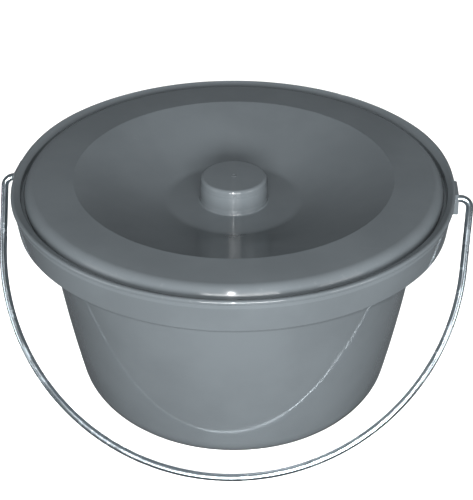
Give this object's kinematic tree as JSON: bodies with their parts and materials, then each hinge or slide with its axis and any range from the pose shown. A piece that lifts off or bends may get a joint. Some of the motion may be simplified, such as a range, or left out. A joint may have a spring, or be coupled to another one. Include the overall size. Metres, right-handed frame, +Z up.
{
  "type": "commode pail",
  "caption": "Round commode pail with a turned-over rim and skirt, a dished lid with a hollow knob, and a wire bail handle laid down in front.",
  "frame": {"origin": "on the floor, at the centre of the pail's base", "axes": "+Z up; the bail turns about X and lies towards -Y at rest; +X to the right seen from the front"},
  "size_m": [0.3236, 0.3, 0.1635],
  "materials": {
    "pail_plastic": "smooth glossy cool grey moulding",
    "lid_plastic": "smooth glossy cool grey moulding",
    "bail_wire": "bright zinc-plated drawn steel wire"
  },
  "bodies": {
    "pail": {"pail": "pail_plastic"},
    "lid": {"lid": "lid_plastic"},
    "bail": {"bail_handle": "bail_wire"}
  },
  "joints": [
    {"name": "bail_swing", "type": "hinge", "parent": "pail", "child": "bail", "pos_m": [0, 0, 0.15], "axis": [-1, 0, 0], "range_deg": [0, 277]},
    {"name": "lid_lift", "type": "slide", "parent": "pail", "child": "lid", "axis": [0, 0, 1], "range_m": [0, 0.06]}
  ]
}
